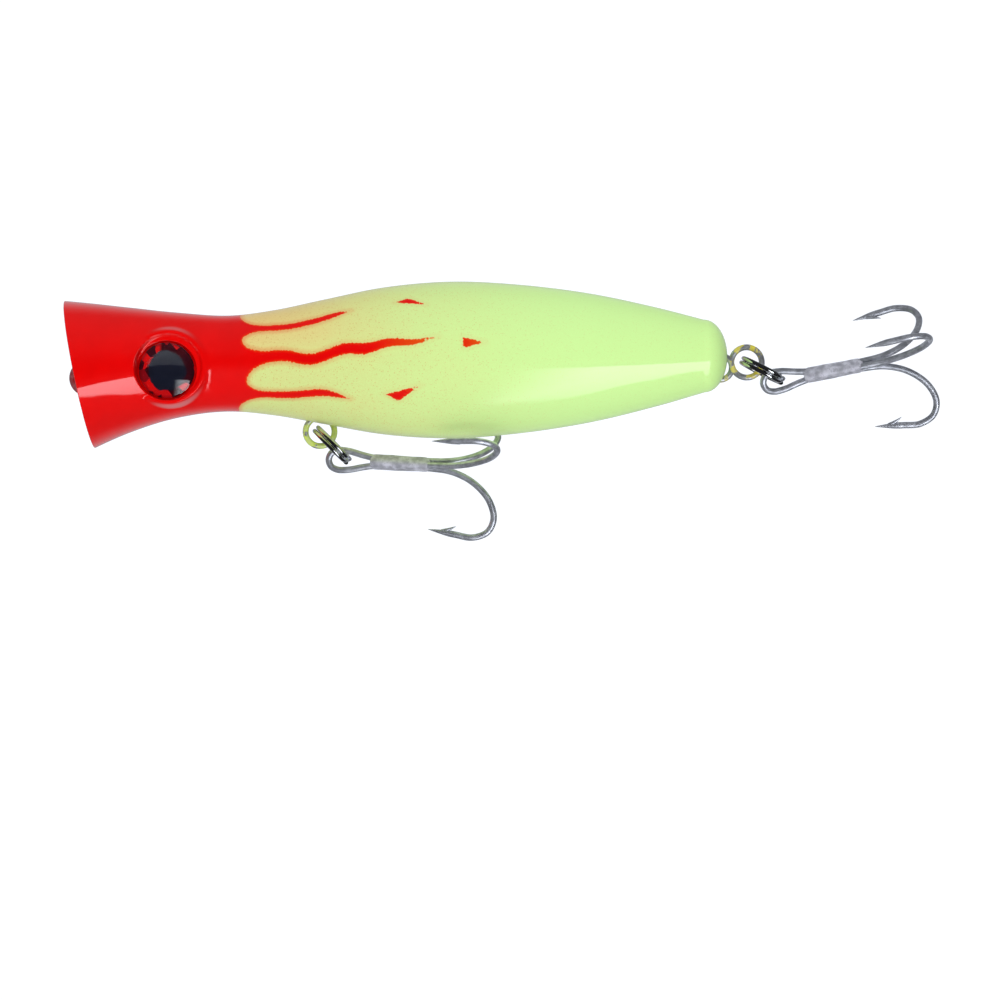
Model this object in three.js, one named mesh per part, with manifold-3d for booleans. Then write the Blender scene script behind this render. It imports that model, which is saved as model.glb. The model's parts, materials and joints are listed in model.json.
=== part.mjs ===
// A topwater popper: a hollow plastic body in two welded halves with a cupped mouth, wire eyelets
// for the line and the hooks, domed eyes, loose rattle balls, a tail weight, and a split ring and
// a treble hook at the belly and at the tail.
// Millimetres. +X runs aft from the mouth to the tail, +Z is the lure's back, and the origin is the
// centre of the line tie's eye. Inside this file, stations (x) count aft from the upper lip and
// heights (z) count from the body's axis; the root group moves them to the origin.
import * as THREE from "three";
import { mergeVertices } from "three/addons/utils/BufferGeometryUtils.js";
import Module from "manifold-3d";

const wasm = await Module();
wasm.setup();

// ---------------------------------------------------------------- driving dimensions
const BODY_LENGTH = 120;
const WALL = 2;
const WIDE_HEAD = 0.11; // how much wider than tall the head and neck are
const ROUND_FROM = 34; // the section turns from that oval ...
const ROUND_AT = 66; // ... to a circle between these stations
const CHIN_STATION = 26; // ahead of this station the head's centre line drops towards the chin
const CHIN_DROP = 0.0042; // per square millimetre ahead of it
const AROUND = 32; // sides of the body's section

// Half the body's height at each station, from ahead of the mouth to where the tail rounds off.
const SIDE_OUTLINE = [
  [-2, 15.3],
  [5.7, 12.95],
  [12, 11.25],
  [20, 9.6],
  [29.5, 8.7],
  [38, 9.55],
  [47, 11.3],
  [58, 13.35],
  [70, 14.2],
  [82, 13.5],
  [95, 11.7],
  [107, 9.0],
  [115.8, 6.6],
];
const TAIL_ROUNDING = BODY_LENGTH - 115.8;

// The mouth is cut by a plane that leans forward at the top, then cupped.
const MOUTH = { x: 2.7, z: -1.45, lean: 10.6, cupDepth: 6.3, cupHalfWidth: 14.2, cupHalfHeight: 12.1 };

const EYE = { x: 18.95, z: -1.25, radius: 5, floor: 8.6, foil: 0.25, gap: 0.05 };
const LENS = { height: 1.5, edge: 0.3 };
const EYE_POCKET = { radius: 5.25, mouthRadius: 6.5, mouthAt: 13.2 };
const EYE_COLLAR = { foot: 7.8, radius: 7, root: 4, top: 10.25 };

const EYELET_WIRE = 1.1;
const SEAT_GAP = 0.15; // between an eyelet and its groove in the shells
const LINE_TIE = { x: 4.0, z: -2.2, loop: 2.75, anchor: 2.2, tilt: 0 };
const BELLY_EYELET = { x: 46, z: -12.6, loop: 2.6, anchor: 2.3, tilt: -90 };
const TAIL_EYELET = { x: 123.48, z: -1.29, loop: 2.75, anchor: 2.2, tilt: 170 };

const RING = { radius: 3.95, radial: 1, axial: 0.82, gap: 0.06 };
// How far below +X each ring lies, and where its centre is, along and across that line.
const BELLY_RING = { slope: 46, along: 3.25, across: -0.15 };
const TAIL_RING = { slope: 28, along: 3.2, across: 0 };

const HOOK_WIRE = 1.2;
const HOOK_EYE = { radius: 1.8, straight: 0.8, throat: 6, pivot: 1.6 };
const SHANK = { spread: 0.66, front: 1.12, start: 6.2, end: 16.8 };
const BRAZE = { from: 6.4, to: 15.8, skin: 0.25, gap: 0.12, core: 0.4 };
// Pitch is the shank's slope below +X, and roll turns the prongs about the shank.
const BELLY_HOOK = { pitch: 4, roll: 7 };
const TAIL_HOOK = { pitch: -10, roll: 14 };

// One prong beyond the straight shank: distance along the shank and out from it.
const PRONG = [
  [SHANK.end, 0],
  [20.7, 0.45],
  [24.5, 2.15],
  [27.5, 5.15],
  [28.6, 8.5],
  [27.6, 11.05],
  [24.9, 12.2],
  [21.9, 11.85],
];
const POINT = { at: 16.8, out: 11.1, tip: 0.05 };
const BARB = { root: 19.8, tip: 21.9, sunk: 0.15, rise: 1.25, radius: 0.25 };

const RATTLE = { radius: 4, clearance: 0.35, z: -4.6, travel: 5, wall: 1.5 };
const RATTLE_CELLS = [62.5, 78.5]; // where each cell begins
const WEIGHT = { x: 95.5, length: 12, radius: 4.5, z: -1.2, clearance: 0.15 };
const BELLY_WEIGHT = { x: 57.2, z: -7.2, radius: 3.6, holderHalf: 4.6, holderWall: 0.8 };

// The hollow inside the body: the main chamber, and a narrower one through the neck to the head.
const CHAMBER = { from: 39, to: 109 };
const NECK_CHAMBER = { from: 16.2, to: 41, headRadius: 6, bodyRadius: 6.4 };
const EYELET_BLOCK = { ahead: 7, behind: 6.4, above: 1.6 }; // solid plastic round the belly eyelet
const PEG = { radius: 1.1, root: 0.5, length: 2.2, clearance: 0.12, spare: 0.3 };
const PEG_SPOTS = [
  [13.6, 7.4],
  [50.7, -6.2],
  [113.6, 2.6],
];

// ---------------------------------------------------------------- materials
const paint = new THREE.MeshStandardMaterial({ color: 0xc8f08c, roughness: 0.28, metalness: 0 });
const stainless = new THREE.MeshStandardMaterial({ color: 0xa9abb0, roughness: 0.35, metalness: 0.9 });
const plated = new THREE.MeshStandardMaterial({ color: 0xbcbcc2, roughness: 0.15, metalness: 1 });
const tinned = new THREE.MeshStandardMaterial({ color: 0xa6a9b0, roughness: 0.38, metalness: 0.95 });
const solder = new THREE.MeshStandardMaterial({ color: 0xa9aab2, roughness: 0.65, metalness: 0.8 });
const foil = new THREE.MeshStandardMaterial({ color: 0xb3101c, roughness: 0.25, metalness: 0.9 });
const resin = new THREE.MeshStandardMaterial({
  color: 0x9a8f98,
  roughness: 0.05,
  transparent: true,
  opacity: 0.4,
});
const steel = new THREE.MeshStandardMaterial({ color: 0x9b9ea3, roughness: 0.25, metalness: 1 });

// ---------------------------------------------------------------- geometry helpers
const degrees = THREE.MathUtils.degToRad;

// A closed geometry as a manifold-3d solid, turned right side out.
function solid(geometry) {
  const plain = geometry.index ? geometry.toNonIndexed() : geometry.clone();
  plain.deleteAttribute("normal");
  plain.deleteAttribute("uv");
  const merged = mergeVertices(plain, 1e-5);
  const triangles = [];
  for (let i = 0; i < merged.index.count; i += 3) {
    const [a, b, c] = [0, 1, 2].map((corner) => merged.index.getX(i + corner));
    if (a !== b && b !== c && c !== a) triangles.push(a, b, c);
  }
  const make = (order) =>
    new wasm.Manifold(
      new wasm.Mesh({
        numProp: 3,
        vertProperties: merged.attributes.position.array,
        triVerts: new Uint32Array(order),
      }),
    );
  const made = make(triangles);
  return made.volume() < 0 ? make(triangles.reverse()) : made;
}

// A solid as a three.js geometry.
function geometryOf(made) {
  const mesh = made.getMesh();
  const geometry = new THREE.BufferGeometry();
  geometry.setAttribute("position", new THREE.BufferAttribute(mesh.vertProperties, 3));
  geometry.setIndex(new THREE.BufferAttribute(mesh.triVerts, 1));
  geometry.computeVertexNormals();
  return geometry;
}

const joined = (solids) => solids.reduce((sum, next) => sum.add(next));

function block([x0, y0, z0], [x1, y1, z1]) {
  const box = new THREE.BoxGeometry(x1 - x0, y1 - y0, z1 - z0);
  return solid(box.translate((x0 + x1) / 2, (y0 + y1) / 2, (z0 + z1) / 2));
}

// A round rod between two points, with a radius at each end.
function rod(from, to, r0, r1, sides) {
  const start = new THREE.Vector3(...from);
  const end = new THREE.Vector3(...to);
  const axis = end.clone().sub(start);
  const geometry = new THREE.CylinderGeometry(r1, r0, axis.length(), sides);
  const turn = new THREE.Quaternion().setFromUnitVectors(new THREE.Vector3(0, 1, 0), axis.normalize());
  const middle = start.add(end).multiplyScalar(0.5);
  return solid(geometry.applyQuaternion(turn).translate(...middle));
}

// A turned solid about the X axis, from [station, radius] points that start and end on the axis.
function turnedAboutX(outline, sides) {
  const profile = outline.map(([x, r]) => new THREE.Vector2(r, x));
  return new THREE.LatheGeometry(profile, sides).rotateZ(-Math.PI / 2);
}

// A tube of a given section along a curve.
function sweep(curve, section, steps) {
  const shape = new THREE.Shape(section);
  return solid(new THREE.ExtrudeGeometry(shape, { extrudePath: curve, steps }));
}

const roundSection = (radius, sides) =>
  Array.from({ length: sides }, (_, i) => {
    const turn = (2 * Math.PI * i) / sides;
    return new THREE.Vector2(radius * Math.cos(turn), radius * Math.sin(turn));
  });

// ---------------------------------------------------------------- the body's form
const smoothstep = THREE.MathUtils.smoothstep;
const widening = (x) => 1 + WIDE_HEAD * (1 - smoothstep(x, ROUND_FROM, ROUND_AT));
const chinDrop = (x) => (x < CHIN_STATION ? -CHIN_DROP * (CHIN_STATION - x) ** 2 : 0);

// Points of the side outline between two stations, shrunk by an inset.
function outlineBetween(from, to, inset, count) {
  const curve = new THREE.SplineCurve(SIDE_OUTLINE.map(([x, r]) => new THREE.Vector2(x, r)));
  const points = curve.getSpacedPoints(count).map((p) => [p.x, p.y - inset]);
  return points.filter(([x]) => x >= from && x <= to);
}

// Gives a turned solid the body's oval section and its dropped chin.
function asBody(geometry) {
  const position = geometry.attributes.position;
  for (let i = 0; i < position.count; i += 1) {
    const x = position.getX(i);
    position.setY(i, position.getY(i) * widening(x));
    position.setZ(i, position.getZ(i) + chinDrop(x));
  }
  return geometry;
}

function outerForm() {
  const side = outlineBetween(-2, BODY_LENGTH - TAIL_ROUNDING, 0, 27);
  const [tailStart, tailRadius] = side.at(-1);
  const tail = [0.3, 0.55, 0.75, 0.9, 1].map((share) => {
    const turn = (share * Math.PI) / 2;
    return [tailStart + TAIL_ROUNDING * Math.sin(turn), tailRadius * Math.cos(turn)];
  });
  tail.at(-1)[1] = 0;
  return solid(asBody(turnedAboutX([[side[0][0], 0], ...side, ...tail], AROUND)));
}

// The space ahead of the leaning mouth plane, and the cup behind it.
function mouthCut() {
  const lean = -degrees(MOUTH.lean);
  const ahead = new THREE.BoxGeometry(20, 60, 60).translate(-10, 0, 0);
  const cup = new THREE.SphereGeometry(1, 24, 14).scale(
    MOUTH.cupDepth + 2,
    MOUTH.cupHalfWidth * 1.03,
    MOUTH.cupHalfHeight * 1.03,
  );
  cup.translate(-2, 0, 0);
  const place = (geometry) => solid(geometry.rotateY(lean).translate(MOUTH.x, 0, MOUTH.z));
  return place(ahead).add(place(cup));
}

// The hollow of the main chamber, with a solid block left round the belly eyelet.
function chambers() {
  const inner = outlineBetween(CHAMBER.from, CHAMBER.to, WALL, 18);
  const profile = [[inner[0][0], 0], ...inner, [inner.at(-1)[0], 0]];
  const main = solid(asBody(turnedAboutX(profile, 16)));
  const { x, z, loop, anchor } = BELLY_EYELET;
  const { ahead, behind, above } = EYELET_BLOCK;
  const blockTop = z + loop + 2 * anchor + above;
  const bellyBlock = block([x - ahead, -30, -30], [x + behind, 30, blockTop]);
  const { from, to, headRadius, bodyRadius } = NECK_CHAMBER;
  const neck = rod([from, 0, 0], [to, 0, 0], headRadius, bodyRadius, 12);
  return main.subtract(bellyBlock).add(neck);
}

// Two rattle cells and the tail weight's seat, as walls to add and rooms to cut.
function ballastCradle() {
  const { radius, clearance, z, travel, wall } = RATTLE;
  const bore = radius + clearance;
  const length = 2 * bore + travel;
  const rooms = RATTLE_CELLS.map((x) => rod([x, 0, z], [x + length, 0, z], bore, bore, 12));
  const walls = RATTLE_CELLS.map((x) =>
    rod([x - wall, 0, z], [x + length + wall, 0, z], bore + wall, bore + wall, 12),
  );
  const seat = WEIGHT.radius + WEIGHT.clearance;
  const weightEnd = WEIGHT.x + WEIGHT.length;
  const seatSpan = [WEIGHT.x - WEIGHT.clearance, weightEnd + WEIGHT.clearance];
  rooms.push(rod([seatSpan[0], 0, WEIGHT.z], [seatSpan[1], 0, WEIGHT.z], seat, seat, 12));
  walls.push(rod([seatSpan[0] - wall, 0, WEIGHT.z], [112, 0, WEIGHT.z], seat + wall, seat + wall, 12));
  const ball = BELLY_WEIGHT;
  const holder = ball.radius + WEIGHT.clearance;
  rooms.push(solid(new THREE.SphereGeometry(holder, 12, 8).translate(ball.x, 0, ball.z)));
  const outside = holder + ball.holderWall;
  const [holderStart, holderEnd] = [ball.x - ball.holderHalf, ball.x + ball.holderHalf];
  walls.push(rod([holderStart, 0, ball.z], [holderEnd, 0, ball.z], outside, outside, 12));
  return { rooms: joined(rooms), walls: joined(walls) };
}

// The raised collar round each eye, and the pocket that the eye is glued into.
function eyeCollar(side) {
  const { foot, radius, root, top } = EYE_COLLAR;
  return rod([EYE.x, side * root, EYE.z], [EYE.x, side * top, EYE.z], foot, radius, 24);
}

function eyePocket(side) {
  const { radius, mouthRadius, mouthAt } = EYE_POCKET;
  return rod(
    [EYE.x, side * EYE.floor, EYE.z],
    [EYE.x, side * mouthAt, EYE.z],
    radius,
    mouthRadius,
    24,
  );
}

// ---------------------------------------------------------------- wire eyelets
// Two rings of wire in one figure of eight. The loop's centre is at the eyelet's place, and the
// anchor ring lies behind it in the body, in the direction that tilt gives from +X towards -Z.
function figureEight({ x, z, loop, anchor, tilt }, wireRadius) {
  const ring = (radius) => new THREE.TorusGeometry(radius, wireRadius, 6, 18).rotateX(Math.PI / 2);
  const outer = solid(ring(loop));
  const inner = solid(ring(anchor).translate(loop + anchor, 0, 0));
  return outer.add(inner).rotate([0, tilt, 0]).translate([x, 0, z]);
}

// ---------------------------------------------------------------- the two shells
function shells() {
  const { rooms, walls } = ballastCradle();
  const outer = outerForm();
  let whole = outer.subtract(chambers()).add(walls.intersect(outer));
  for (const side of [-1, 1]) whole = whole.add(eyeCollar(side)).subtract(eyePocket(side));
  whole = whole.subtract(mouthCut()).subtract(rooms);
  for (const eyelet of [LINE_TIE, BELLY_EYELET, TAIL_EYELET])
    whole = whole.subtract(figureEight(eyelet, EYELET_WIRE / 2 + SEAT_GAP));
  const left = whole.intersect(block([-20, -40, -40], [150, 0, 40]));
  const right = whole.intersect(block([-20, 0, -40], [150, 40, 40]));
  const peg = (radius, length) =>
    joined(PEG_SPOTS.map(([x, z]) => rod([x, -PEG.root, z], [x, length, z], radius, radius, 8)));
  const pegs = peg(PEG.radius, PEG.length);
  const sockets = peg(PEG.radius + PEG.clearance, PEG.length + PEG.spare);
  return { left: left.add(pegs), right: right.subtract(sockets) };
}

// ---------------------------------------------------------------- split rings
// Two flat turns of wire on each other, with a step where the lower turn climbs to the upper one.
class SplitRingPath extends THREE.Curve {
  getPoint(t) {
    const step = Math.PI / 5;
    const angle = t * (4 * Math.PI - step);
    const rise = smoothstep(angle, 2 * Math.PI - step, 2 * Math.PI) - 0.5;
    const level = rise * (RING.axial + RING.gap);
    return new THREE.Vector3(RING.radius * Math.cos(angle), RING.radius * Math.sin(angle), level);
  }
}

function splitRing() {
  const [u, v] = [RING.axial / 2, RING.radial / 2];
  const section = [
    [u, v],
    [-u, v],
    [-u, -v],
    [u, -v],
  ].map(([a, b]) => new THREE.Vector2(a, b));
  return sweep(new SplitRingPath(), section, 46);
}

// Where a ring's centre lies when it hangs from an eyelet.
function ringPlace(eyelet, { slope, along, across }) {
  const [c, s] = [Math.cos(degrees(slope)), Math.sin(degrees(slope))];
  return new THREE.Vector3(eyelet.x + along * c + across * s, 0, eyelet.z - along * s + across * c);
}

// ---------------------------------------------------------------- treble hooks
// In a hook's own frame the pivot is the origin, the shank runs along +X and the eye lies in XZ.
const outward = (turn) => new THREE.Vector3(0, Math.sin(degrees(turn)), Math.cos(degrees(turn)));
const LOWER_PRONG = outward(180);
const FAR_PRONG = outward(60);
const NEAR_PRONG = outward(-60);
const shankBase = -HOOK_EYE.pivot;

function prongPoint(offset, direction, [along, out]) {
  return offset.clone().addScaledVector(direction, out).setX(shankBase + along);
}

// The sharpened point and its barb, which go on the end of a prong.
function pointAndBarb(offset, direction) {
  const place = (along, out) => prongPoint(offset, direction, [along, out]).toArray();
  const [baseAlong, baseOut] = PRONG.at(-1);
  const slope = (baseOut - POINT.out) / (baseAlong - POINT.at);
  const outAt = (along) => baseOut - slope * (baseAlong - along);
  const wire = HOOK_WIRE / 2;
  const start = baseAlong + 0.1;
  const needle = rod(place(start, outAt(start)), place(POINT.at, POINT.out), wire, POINT.tip, 8);
  const barb = rod(
    place(BARB.root, outAt(BARB.root) - BARB.sunk),
    place(BARB.tip, outAt(BARB.tip) - BARB.rise),
    BARB.radius,
    POINT.tip,
    6,
  );
  return needle.add(barb);
}

function wireSolid(points, steps) {
  return sweep(new THREE.CatmullRomCurve3(points), roundSection(HOOK_WIRE / 2, 6), steps);
}

// One wire bent at its middle into the eye, whose two legs run on into two of the prongs.
function doubleHook() {
  const { radius, straight, throat } = HOOK_EYE;
  const [upper, lower] = [new THREE.Vector3(0, 0, SHANK.spread), new THREE.Vector3(0, 0, -SHANK.spread)];
  const eyeHalf = [
    [SHANK.end - 5, SHANK.spread],
    [throat + 1, SHANK.spread],
    [throat - 1.4, 1.05],
    [straight + 1.2, radius * 0.93],
    [straight, radius],
    [0, radius],
    [-radius * Math.SQRT1_2, radius * Math.SQRT1_2],
  ];
  const at = (x, z) => new THREE.Vector3(shankBase + x, 0, z);
  const path = [
    ...PRONG.toReversed().map((p) => prongPoint(upper, FAR_PRONG, p)),
    ...eyeHalf.map(([x, z]) => at(x, z)),
    at(-radius, 0),
    ...eyeHalf.toReversed().map(([x, z]) => at(x, -z)),
    ...PRONG.map((p) => prongPoint(lower, LOWER_PRONG, p)),
  ];
  return wireSolid(path, 72)
    .add(pointAndBarb(upper, FAR_PRONG))
    .add(pointAndBarb(lower, LOWER_PRONG));
}

// The third hook, whose straight shank lies in front of the other two.
function singleHook() {
  const front = new THREE.Vector3(0, -SHANK.front, 0);
  const shank = [SHANK.start, SHANK.end - 5].map((along) => prongPoint(front, NEAR_PRONG, [along, 0]));
  const path = [...shank, ...PRONG.map((p) => prongPoint(front, NEAR_PRONG, p))];
  return wireSolid(path, 28).add(pointAndBarb(front, NEAR_PRONG));
}

// The braze that holds the three shanks together: a rounded triangular sleeve, bored for each wire
// and cut out between them.
function brazeSleeve() {
  const reach = HOOK_WIRE / 2 + BRAZE.skin;
  // Section axes here are (-z, y), so that the extrusion runs along +X.
  const wires = [
    [-SHANK.spread, 0],
    [0, -SHANK.front],
    [SHANK.spread, 0],
  ];
  const slant = Math.atan2(SHANK.front, SHANK.spread);
  const outline = new THREE.Shape();
  outline.absarc(...wires[0], reach, Math.PI / 2, Math.PI * 1.5 - slant, false);
  outline.absarc(...wires[1], reach, Math.PI * 1.5 - slant, Math.PI * 1.5 + slant, false);
  outline.absarc(...wires[2], reach, Math.PI * 1.5 + slant, Math.PI * 2.5, false);
  const length = BRAZE.to - BRAZE.from;
  const settings = { depth: length, bevelEnabled: false, curveSegments: 3 };
  const sleeve = new THREE.ExtrudeGeometry(outline, settings);
  const whole = solid(sleeve.rotateY(Math.PI / 2).translate(shankBase + BRAZE.from, 0, 0));
  const bore = HOOK_WIRE / 2 + BRAZE.gap;
  const [start, end] = [shankBase + BRAZE.from - 1, shankBase + BRAZE.to + 1];
  const cuts = [...wires, [0, -BRAZE.core]].map(([a, y]) => rod([start, y, -a], [end, y, -a], bore, bore, 8));
  return whole.subtract(joined(cuts));
}

// ---------------------------------------------------------------- assembly
const popper = new THREE.Group();
popper.position.set(-LINE_TIE.x, 0, -LINE_TIE.z);

function addPart(name, made, material, group = popper) {
  const mesh = new THREE.Mesh(geometryOf(made), material);
  mesh.name = name;
  group.add(mesh);
}

function addShells() {
  const { left, right } = shells();
  addPart("shell_left", left, paint);
  addPart("shell_right", right, paint);
}

function addEyelets() {
  addPart("line_tie_eyelet", figureEight(LINE_TIE, EYELET_WIRE / 2), stainless);
  addPart("belly_eyelet", figureEight(BELLY_EYELET, EYELET_WIRE / 2), stainless);
  addPart("tail_eyelet", figureEight(TAIL_EYELET, EYELET_WIRE / 2), stainless);
}

// A domed lens, standing on the origin and facing +Y.
function lensDome() {
  const rise = LENS.height - LENS.edge;
  const cap = Array.from({ length: 6 }, (_, i) => {
    const turn = (i / 6) * (Math.PI / 2);
    return new THREE.Vector2(EYE.radius * Math.cos(turn), LENS.edge + rise * Math.sin(turn));
  });
  const foot = [new THREE.Vector2(0, 0), new THREE.Vector2(EYE.radius, 0)];
  return new THREE.LatheGeometry([...foot, ...cap, new THREE.Vector2(0, LENS.height)], 28);
}

// A foil disc at the bottom of each pocket with a lens over it.
function addEyes() {
  for (const [name, side] of [
    ["left", -1],
    ["right", 1],
  ]) {
    const discBase = EYE.floor + EYE.gap;
    const discTop = discBase + EYE.foil;
    const at = (height) => [EYE.x, side * height, EYE.z];
    addPart(`eye_foil_${name}`, rod(at(discBase), at(discTop), EYE.radius, EYE.radius, 28), foil);
    const lens = lensDome().rotateX(side > 0 ? 0 : Math.PI);
    addPart(`eye_lens_${name}`, solid(lens.translate(...at(discTop + EYE.gap))), resin);
  }
}

function addInsides() {
  const { radius, clearance, z } = RATTLE;
  RATTLE_CELLS.forEach((cell, i) => {
    const ball = new THREE.SphereGeometry(radius, 12, 8);
    ball.translate(cell + radius + clearance, 0, z);
    addPart(["rattle_ball_front", "rattle_ball_rear"][i], solid(ball), steel);
  });
  const tail = WEIGHT;
  const ends = [tail.x, tail.x + tail.length].map((x) => [x, 0, tail.z]);
  addPart("tail_weight", rod(...ends, tail.radius, tail.radius, 12), steel);
  const belly = BELLY_WEIGHT;
  const ball = new THREE.SphereGeometry(belly.radius, 12, 8).translate(belly.x, 0, belly.z);
  addPart("belly_weight", solid(ball), steel);
}

// A split ring through an eyelet, and a treble hook whose eye hangs on the ring's far side.
function addRingAndHook(place, eyelet, ring, hook) {
  const centre = ringPlace(eyelet, ring);
  const ringGroup = new THREE.Group();
  ringGroup.position.copy(centre);
  ringGroup.rotation.y = degrees(ring.slope);
  popper.add(ringGroup);
  addPart(`${place}_split_ring`, splitRing(), plated, ringGroup);

  const hookGroup = new THREE.Group();
  const slope = degrees(ring.slope);
  const reach = new THREE.Vector3(Math.cos(slope), 0, -Math.sin(slope)).multiplyScalar(RING.radius);
  hookGroup.position.copy(centre).add(reach);
  hookGroup.rotation.set(degrees(hook.roll), degrees(hook.pitch), 0, "YXZ");
  popper.add(hookGroup);
  addPart(`${place}_hook_double`, doubleHook(), tinned, hookGroup);
  addPart(`${place}_hook_single`, singleHook(), tinned, hookGroup);
  addPart(`${place}_hook_braze`, brazeSleeve(), solder, hookGroup);
}

addShells();
addEyelets();
addEyes();
addInsides();
addRingAndHook("belly", BELLY_EYELET, BELLY_RING, BELLY_HOOK);
addRingAndHook("tail", TAIL_EYELET, TAIL_RING, TAIL_HOOK);

export default popper;
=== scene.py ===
"""The looks of a floating popper: a painted body in two shells, domed eyes and hook sets.

Modelling is in millimetres. A station counts aft from the upper lip and a height counts from the
body's axis. finished() moves each mesh into the frame, whose origin is the line tie's eye.
"""

import json
import logging
import math
from collections.abc import Callable, Sequence
from dataclasses import dataclass
from enum import Enum

import bmesh
import bpy
import numpy as np
from mathutils import Matrix, Vector


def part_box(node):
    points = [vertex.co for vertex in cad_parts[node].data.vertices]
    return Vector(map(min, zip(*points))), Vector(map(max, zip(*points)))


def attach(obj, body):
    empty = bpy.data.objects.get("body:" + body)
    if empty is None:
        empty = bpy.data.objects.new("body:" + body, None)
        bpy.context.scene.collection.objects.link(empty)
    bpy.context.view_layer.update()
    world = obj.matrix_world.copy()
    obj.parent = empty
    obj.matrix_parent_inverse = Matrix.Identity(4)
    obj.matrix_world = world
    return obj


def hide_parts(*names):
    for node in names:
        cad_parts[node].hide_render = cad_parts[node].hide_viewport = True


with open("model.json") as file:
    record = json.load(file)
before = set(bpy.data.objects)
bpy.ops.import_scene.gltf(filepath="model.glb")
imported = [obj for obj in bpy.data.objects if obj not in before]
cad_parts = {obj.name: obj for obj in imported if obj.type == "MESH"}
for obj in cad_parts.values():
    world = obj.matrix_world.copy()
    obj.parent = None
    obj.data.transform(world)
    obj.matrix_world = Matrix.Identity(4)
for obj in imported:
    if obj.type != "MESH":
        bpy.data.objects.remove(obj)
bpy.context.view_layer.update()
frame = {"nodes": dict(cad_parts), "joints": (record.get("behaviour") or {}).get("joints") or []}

MM = 0.001
LINE_TIE_STATION = 4.0
LINE_TIE_HEIGHT = -2.2
TO_FRAME = Matrix.Scale(MM, 4) @ Matrix.Translation((-LINE_TIE_STATION, 0, -LINE_TIE_HEIGHT))
TO_MM = TO_FRAME.inverted()
JOINT_AT = {joint["name"]: joint.get("pos_m") for joint in frame["joints"]}

log = logging.getLogger("popper")


class Side(Enum):
    """A side of the lure, as the sign of Y."""

    LEFT = -1
    RIGHT = 1


# ---------------------------------------------------------------- curves and outlines
def smooth_path(points: Sequence[Sequence[float]], per_span: int) -> np.ndarray:
    """Runs a centripetal Catmull-Rom curve through points.

    Args:
        points: the places the curve passes through, in order.
        per_span: how many steps lie between two of them.

    Returns:
        One row for each point of the curve.
    """
    knots = np.array(points, float)
    padded = np.vstack([2 * knots[0] - knots[1], knots, 2 * knots[-1] - knots[-2]])
    rows = []
    for p0, p1, p2, p3 in zip(padded, padded[1:], padded[2:], padded[3:]):
        gaps = [max(np.linalg.norm(b - a), 1e-9) ** 0.5 for a, b in ((p0, p1), (p1, p2), (p2, p3))]
        t0, t1, t2, t3 = np.concatenate([[0], np.cumsum(gaps)])
        for t in np.linspace(t1, t2, per_span, endpoint=False):
            a1 = ((t1 - t) * p0 + (t - t0) * p1) / (t1 - t0)
            a2 = ((t2 - t) * p1 + (t - t1) * p2) / (t2 - t1)
            a3 = ((t3 - t) * p2 + (t - t2) * p3) / (t3 - t2)
            b1 = ((t2 - t) * a1 + (t - t0) * a2) / (t2 - t0)
            b2 = ((t3 - t) * a2 + (t - t1) * a3) / (t3 - t1)
            rows.append(((t2 - t) * b1 + (t - t1) * b2) / (t2 - t1))
    return np.vstack([*rows, knots[-1]])


def smoothstep(value: np.ndarray | float, low: float, high: float) -> np.ndarray:
    """Rises smoothly from 0 at low to 1 at high."""
    share = np.clip((np.asarray(value, float) - low) / (high - low), 0, 1)
    return share * share * (3 - 2 * share)


def signed_distance(at: np.ndarray, outline: np.ndarray) -> np.ndarray:
    """Measures how far points lie from a closed outline.

    Args:
        at: the points, two columns.
        outline: the outline's corners in order, two columns.

    Returns:
        The distance of each point, negative inside the outline.
    """
    nearest = np.full(len(at), np.inf)
    inside = np.zeros(len(at), bool)
    for (x0, y0), (x1, y1) in zip(outline, np.roll(outline, -1, axis=0)):
        edge = np.array([x1 - x0, y1 - y0])
        offset = at - (x0, y0)
        share = np.clip(offset @ edge / max(edge @ edge, 1e-12), 0, 1)
        nearest = np.minimum(nearest, np.linalg.norm(offset - share[:, None] * edge, axis=1))
        crosses = (y0 > at[:, 1]) != (y1 > at[:, 1])
        rise = np.where(crosses, y1 - y0, 1)
        inside ^= crosses & (at[:, 0] < x0 + (at[:, 1] - y0) * edge[0] / rise)
    return np.where(inside, -nearest, nearest)


# ---------------------------------------------------------------- mesh helpers
def wire_mesh(
    path: np.ndarray, radius: float, taper: Sequence[float] | None = None, closed: bool = False
) -> bmesh.types.BMesh:
    """Sweeps a round wire along a path.

    Args:
        path: the points of its centre line.
        radius: the wire's radius.
        taper: the share of that radius at each point, or None for an even wire.
        closed: whether the path's ends meet.

    Returns:
        A closed mesh.
    """
    curve = bpy.data.curves.new("wire", "CURVE")
    curve.dimensions = "3D"
    curve.bevel_depth = radius
    curve.bevel_resolution = 5
    curve.use_fill_caps = not closed
    spline = curve.splines.new("POLY")
    spline.points.add(len(path) - 1)
    for point, place, share in zip(spline.points, path, taper or [1.0] * len(path)):
        point.co = (*place, 1)
        point.radius = share
    spline.use_cyclic_u = closed
    holder = bpy.data.objects.new("wire", curve)
    bpy.context.collection.objects.link(holder)
    bpy.context.view_layer.update()
    swept = bpy.data.meshes.new_from_object(holder.evaluated_get(bpy.context.evaluated_depsgraph_get()))
    bpy.data.objects.remove(holder)
    bm = bmesh.new()
    bm.from_mesh(swept)
    bpy.data.meshes.remove(swept)
    bmesh.ops.remove_doubles(bm, verts=bm.verts, dist=1e-4)
    bmesh.ops.recalc_face_normals(bm, faces=bm.faces)
    return bm


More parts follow.
